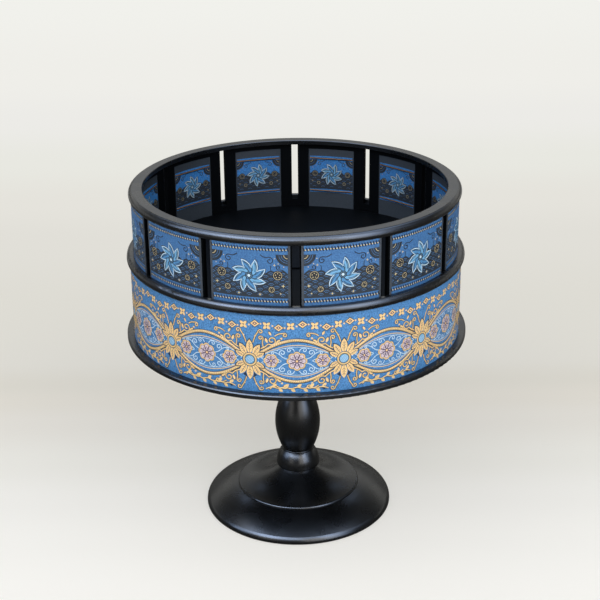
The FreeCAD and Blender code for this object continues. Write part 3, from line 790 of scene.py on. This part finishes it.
def drawStar(drawing):
    middle = band["middle"]

    def mirrored(points, side, up):
        return [(bandHalf + side * x, middle + up * y) for x, y in points]

    for up in (-1, 1):
        for turn, size in star["leaves"]:
            way = turn if up > 0 else 180 + turn
            base = placed([(0, star["stalk"])], bandHalf, middle, way)[0]
            wide = size * star["leafWidth"]
            longer, wider = star["ground"]
            fill(drawing, "navyInk", 3, placed(leaf(size + longer, wide + wider), *base, way))
            fill(drawing, "goldInk", 4, placed(leaf(size, wide), *base, way))
            ends, width = star["vein"]
            stroke(drawing, "mauveInk", 5, placed([(0, size * end) for end in ends], *base, way), width)
            places, reach, width = star["barbs"]
            for side in (-1, 1):
                for part in places:
                    barb = [(0, size * part), (side * size * reach, size * (part + reach))]
                    stroke(drawing, "mauveInk", 5, placed(barb, *base, way), width)
        for side in (-1, 1):
            for width, points, end in star["filigree"]:
                turned = mirrored(tendril(points, end), side, up)
                stroke(drawing, "navyInk", 0, turned, width + band["outline"], smooth=True)
                stroke(drawing, "goldInk", 1, turned, width, smooth=True)
            for x, y, way, length in star["fronds"]:
                for grown, ink, level in ((band["outline"], "navyInk", 0), (0, "goldInk", 1)):
                    frond = leaf(length + grown, length * star["frondWidth"] + grown, 4)
                    fill(drawing, ink, level, mirrored(placed(frond, x, y, way), side, up))
            for x, y, radius in star["dots"]:
                fill(drawing, "goldInk", 1, ring(bandHalf + side * x, middle + up * y, radius, 8))
    fill(drawing, "navyInk", 5, ring(bandHalf, middle, star["boss"], 20))
    ringRadius, ringWidth = star["bossRing"]
    stroke(drawing, "goldInk", 6, ring(bandHalf, middle, ringRadius, 20), ringWidth, closed=True)
    fill(drawing, "skyInk", 6, ring(bandHalf, middle, star["bossEye"], 16))
    places, reach, slant, width = star["bossLines"]
    for place in places:
        half = math.sqrt(reach ** 2 - place ** 2)
        line = placed([(-half, place), (half, place)], bandHalf, middle, slant)
        stroke(drawing, "paleInk", 7, line, width)


# A small chain of four-petalled flowers and lozenges along the band's upper edge.
chain = {
    "height": 40.6,
    "sag": 1.0,
    "links": 8,
    "petals": ((0, "navyInk", 3.1, 2.1), (1, "goldInk", 2.8, 1.7)),     # level, ink, length and width
    "eye": 0.45,
    "lozenges": ((0, "navyInk", 3.1, 2.5), (1, "goldInk", 2.6, 2.0), (2, "mauveInk", 1.5, 1.1)),
    "pip": 0.5,
    "bead": 0.55,
}


def drawChain(drawing):
    count = chain["links"]
    for place in range(count):
        x = -bandHalf + bandLength * (place + 0.5) / count
        y = chain["height"] + chain["sag"] * math.cos(4 * math.pi * place / count)
        if place % 2:
            for petal in range(4):
                for level, ink, length, width in chain["petals"]:
                    fill(drawing, ink, level, placed(leaf(length, width, 4), x, y, 45 + 90 * petal))
            fill(drawing, "mauveInk", 2, ring(x, y, chain["eye"], 8))
        else:
            for level, ink, across, tall in chain["lozenges"]:
                fill(drawing, ink, level, placed([(across, 0), (0, tall), (-across, 0), (0, -tall)], x, y))
            fill(drawing, "goldInk", 3, ring(x, y, chain["pip"], 6))
        fill(drawing, "goldInk", 1, ring(x + bandLength / count / 2, y, chain["bead"], 8))


# A low vine under each oval, with a leaf at every bend.
vine = {
    "height": 3.2,
    "halfLength": 17.5,
    "swing": 0.9,
    "bends": 10,
    "width": 0.72,
    "leaf": (3.3, 1.9),
    "leafShift": 0.3,
    "leafTurns": (228, -48),
}


def drawVine(drawing):
    low, half, bends = vine["height"], vine["halfLength"], vine["bends"]
    stem = [(-half + 2 * half * step / bends, low + (vine["swing"] if step % 2 else -vine["swing"]))
            for step in range(bends + 1)]
    stroke(drawing, "navyInk", 0, stem, vine["width"] + band["outline"], smooth=True)
    stroke(drawing, "goldInk", 1, stem, vine["width"], smooth=True)
    for step in range(1, bends):
        x, y = stem[step]
        height = low + vine["leafShift"] * (y - low)
        fill(drawing, "goldInk", 1, placed(leaf(*vine["leaf"], 4), x, height, vine["leafTurns"][step % 2]))


def drawBand():
    drawing = newDrawing()
    drawOval(drawing)
    drawStar(drawing)
    drawChain(drawing)
    drawVine(drawing)
    return drawing


for place in range(round(360 / drum["slotPitch"])):
    middle = drum["firstSlot"] + drum["slotPitch"] * (place + 0.5)
    phase = pinwheel["phaseStep"] * place
    layPrint(f"outerPicture{place + 1:02d}", drawCard(outerPicture, outerCard["fieldHalfWidth"], phase),
             outerCard["face"], outerPicture["height"], middle)
    layPrint(f"innerPicture{place + 1:02d}", drawCard(innerPicture, innerCard["fieldHalfWidth"], phase),
             innerCard["face"], innerPicture["height"], middle, inward=True)
print("card pictures done")
for segment in range(band["segments"]):
    layPrint(f"bandPrint{segment + 1:02d}", drawBand(), band["face"], band["base"],
             drum["firstSlot"] + 360 / band["segments"] * segment)
print("band print done")

# Floor and backdrop in one sweep of pale paper, in metres. Its tones are painted shade and light: greyer in
# a band on the floor just behind the object, lighter in front.
studio = {
    "width": 24.0,
    "front": -10.0,
    "back": 2.4,
    "sweep": 0.5,           # radius of the bend from floor to wall
    "bendSteps": 24,
    "height": 3.0,
    "colour": "#E8E7E2",
    "roughness": 0.9,
    "shadowReach": (0.12, 0.45),    # from the axis
    "shadowShare": 0.6,
    "paintedBrightening": 0.45,       # how far the lit paper's colour is taken towards white, as painted light
    "lightAndShadeTones": (
        (-0.10, "#FCFBF6"), (-0.05, "#F9F8F3"), (0.0, "#F4F3EE"), (0.05, "#EDECE5"), (0.11, "#E5E2DA"),
        (0.145, "#E1DDD3"), (0.175, "#DCD9CF"), (0.215, "#DFDDD5"), (0.34, "#DEDCD4"), (0.50, "#E1DFD8"),
        (0.63, "#E5E3DC"), (0.78, "#E8E8E1"), (0.97, "#ECEBE7"), (1.2, "#EFEEE9"), (1.875, "#F1F1EC"),
    ),
    # How brightly the black lacquer mirrors the paper, by metres back along the floor and on up the wall.
    "mirror": (
        (-2.5, 0.9), (-0.9, 0.6), (-0.5, 0.4), (-0.3, 0.22), (-0.1, 0.1), (0.6, 0.2), (0.9, 0.35),
        (1.1, 1.0), (2.4, 0.9), (2.7, 0.25), (3.3, 0.25), (3.5, 0.05), (3.65, 0.05), (3.8, 0.6),
        (3.92, 1.0), (4.6, 1.0), (4.8, 0.2), (6.0, 0.15),
    ),
}


# Matt backdrop paper, pale, that the light barely marks; its tone carries painted shade and light, and it
# keeps the object's soft shadow.
def backdropPaper():
    material, shader, place = startMaterial("backdropPaper", studio["colour"], studio["roughness"])
    split = addNode(material, "SeparateXYZ", {"Vector": place})
    along = addNode(material, "Math", {0: split.outputs["Y"], 1: split.outputs["Z"]}, operation="ADD")
    ramps = {}
    for name, value, interpolation in (("lightAndShadeTones", split.outputs["Y"], "EASE"),
                                       ("mirror", along.outputs[0], "LINEAR")):
        stops = [(at, linear(tone) if name == "lightAndShadeTones" else (tone, tone, tone, 1))
                 for at, tone in studio[name]]
        low, high = stops[0][0], stops[-1][0]
        share = addNode(material, "MapRange", {"Value": value, "From Min": low, "From Max": high})
        ramps[name] = addNode(material, "ValToRGB", {"Fac": share.outputs["Result"]})
        ramps[name].color_ramp.interpolation = interpolation
        for at, colour in stops[1:-1]:
            ramps[name].color_ramp.elements.new((at - low) / (high - low)).color = colour
        ramps[name].color_ramp.elements[0].color = stops[0][1]
        ramps[name].color_ramp.elements[-1].color = stops[-1][1]
    lightAndShadeTones, mirror = ramps["lightAndShadeTones"].outputs["Color"], ramps["mirror"].outputs["Color"]
    # The lit paper's colour is brightened towards white as painted light.
    lit = addNode(material, "Mix", {"Factor": studio["paintedBrightening"], "A": lightAndShadeTones, "B": linear("#FFFFFF")},
                  data_type="RGBA")
    feed(material, lit.outputs["Result"], shader, "Base Color")
    # Away from the object the paper glows with its painted tones; near it, it is partly lit paper and keeps
    # the object's soft shadow.
    away = addNode(material, "VectorMath", {0: place}, operation="LENGTH")
    near, far = studio["shadowReach"]
    share = addNode(material, "MapRange", {"Value": away.outputs["Value"], "From Min": near, "From Max": far,
                                           "To Min": studio["shadowShare"], "To Max": 1.0},
                    interpolation_type="SMOOTHSTEP")
    rays = addNode(material, "LightPath")
    mirrored = addNode(material, "Math", {0: rays.outputs["Is Glossy Ray"],
                                          1: rays.outputs["Is Transmission Ray"]}, operation="MAXIMUM")
    direct = addNode(material, "Math", {0: rays.outputs["Is Camera Ray"], 1: share.outputs["Result"]},
                     operation="MULTIPLY")
    factor = addNode(material, "Math", {0: direct.outputs[0], 1: mirrored.outputs[0]}, operation="MAXIMUM")
    strength = addNode(material, "Math", {0: rays.outputs["Is Camera Ray"], 1: mirror}, operation="MAXIMUM")
    glow = addNode(material, "Emission", {"Color": lightAndShadeTones, "Strength": strength.outputs[0]})
    blend = addNode(material, "MixShader", {0: factor.outputs[0], 1: shader.outputs["BSDF"],
                                            2: glow.outputs["Emission"]})
    feed(material, blend.outputs["Shader"], material.node_tree.nodes["Material Output"], "Surface")
    return material


def buildStudio():
    shape = bmesh.new()
    half = studio["width"] / 2
    start = [shape.verts.new((x, studio["front"], 0.0)) for x in (-half, half)]
    edge = shape.edges.new(start)
    flat = bmesh.ops.extrude_edge_only(shape, edges=[edge])
    corner = [item for item in flat["geom"] if isinstance(item, bmesh.types.BMVert)]
    bmesh.ops.translate(shape, verts=corner, vec=(0, studio["back"] - studio["front"], 0))
    edge = [item for item in flat["geom"] if isinstance(item, bmesh.types.BMEdge)]
    bend = bmesh.ops.spin(shape, geom=edge + corner, cent=(0, studio["back"], studio["sweep"]),
                          axis=(1, 0, 0), angle=math.radians(90), steps=studio["bendSteps"], use_merge=False)
    edge = [item for item in bend["geom_last"] if isinstance(item, bmesh.types.BMEdge)]
    wall = bmesh.ops.extrude_edge_only(shape, edges=edge)
    top = [item for item in wall["geom"] if isinstance(item, bmesh.types.BMVert)]
    bmesh.ops.translate(shape, verts=top, vec=(0, 0, studio["height"]))
    bmesh.ops.recalc_face_normals(shape, faces=shape.faces)
    mesh = bpy.data.meshes.new("studioSweep")
    shape.to_mesh(mesh)
    shape.free()
    for face in mesh.polygons:
        face.use_smooth = True
    mesh.materials.append(backdropPaper())
    sweep = bpy.data.objects.new("studioSweep", mesh)
    bpy.context.scene.collection.objects.link(sweep)


buildStudio()

# Two windows in front, the right one wider, and a large soft panel overhead in front light everything.
# The sky lamps are what the lacquer mirrors of the room and the sky outside; the prints don't take them.
lamps = {
    "rightWindow": {"azimuth": 27, "elevation": 18, "distance": 1.5, "size": (1.1, 1.2), "power": 9.0},
    "leftWindow": {"azimuth": -37, "elevation": 18, "distance": 1.5, "size": (0.65, 1.2), "power": 2.4},
    "frontPanel": {"azimuth": -14, "elevation": 60, "distance": 1.6, "size": (3.4, 2.3), "power": 30.0},
    "skyLeft": {"azimuth": -45, "elevation": 43, "distance": 1.45, "size": (0.64, 0.89), "power": 19.0},
    "skyFarLeft": {"azimuth": -75, "elevation": 36, "distance": 1.45, "size": (0.66, 1.29), "power": 15.0},
    "skyMiddle": {"azimuth": -12, "elevation": 43, "distance": 1.45, "size": (0.74, 0.89), "power": 13.5},
    "skyRight": {"azimuth": 45, "elevation": 43, "distance": 1.45, "size": (0.64, 0.89), "power": 13.6},
    "skyRightLow": {"azimuth": 45, "elevation": 12, "distance": 1.45, "size": (0.75, 0.72), "power": 6.6},
    "skyFarRight": {"azimuth": 75, "elevation": 43, "distance": 1.45, "size": (0.64, 0.89), "power": 2.0},
    "skyOverhead": {"azimuth": 0, "elevation": 90, "distance": 1.45, "size": (1.67, 1.67), "power": 30.0},
    "skyBehind": {"azimuth": 180, "elevation": 51, "distance": 1.45, "size": (1.24, 0.46), "power": 6.0},
}
lampAim = (0, 0, 0.14)
lampColours = {"window": "#FFFCF8", "sky": "#BCD6FF"}


def buildLamps():
    for name, lamp in lamps.items():
        azimuth, elevation = math.radians(lamp["azimuth"]), math.radians(lamp["elevation"])
        way = Vector((math.sin(azimuth) * math.cos(elevation), -math.cos(azimuth) * math.cos(elevation),
                      math.sin(elevation)))
        onlyMirrored = name.startswith("sky")
        light = bpy.data.lights.new(name, "AREA")
        light.shape = "RECTANGLE"
        light.size, light.size_y = lamp["size"]
        light.energy = lamp["power"]
        light.color = linear(lampColours["sky" if onlyMirrored else "window"])[:3]
        placedLamp = bpy.data.objects.new(name, light)
        placedLamp.visible_diffuse = not onlyMirrored
        placedLamp.location = Vector(lampAim) + way * lamp["distance"]
        placedLamp.rotation_euler = way.to_track_quat("Z", "Y").to_euler()
        bpy.context.scene.collection.objects.link(placedLamp)


buildLamps()

room = {"colour": "#F4F1EA", "strength": 0.1}
world = bpy.data.worlds.new("softRoom")
world.use_nodes = True
world.node_tree.nodes["Background"].inputs["Color"].default_value = linear(room["colour"])
world.node_tree.nodes["Background"].inputs["Strength"].default_value = room["strength"]
bpy.context.scene.world = world
bpy.context.scene.view_settings.view_transform = "Standard"
print("studio lit")
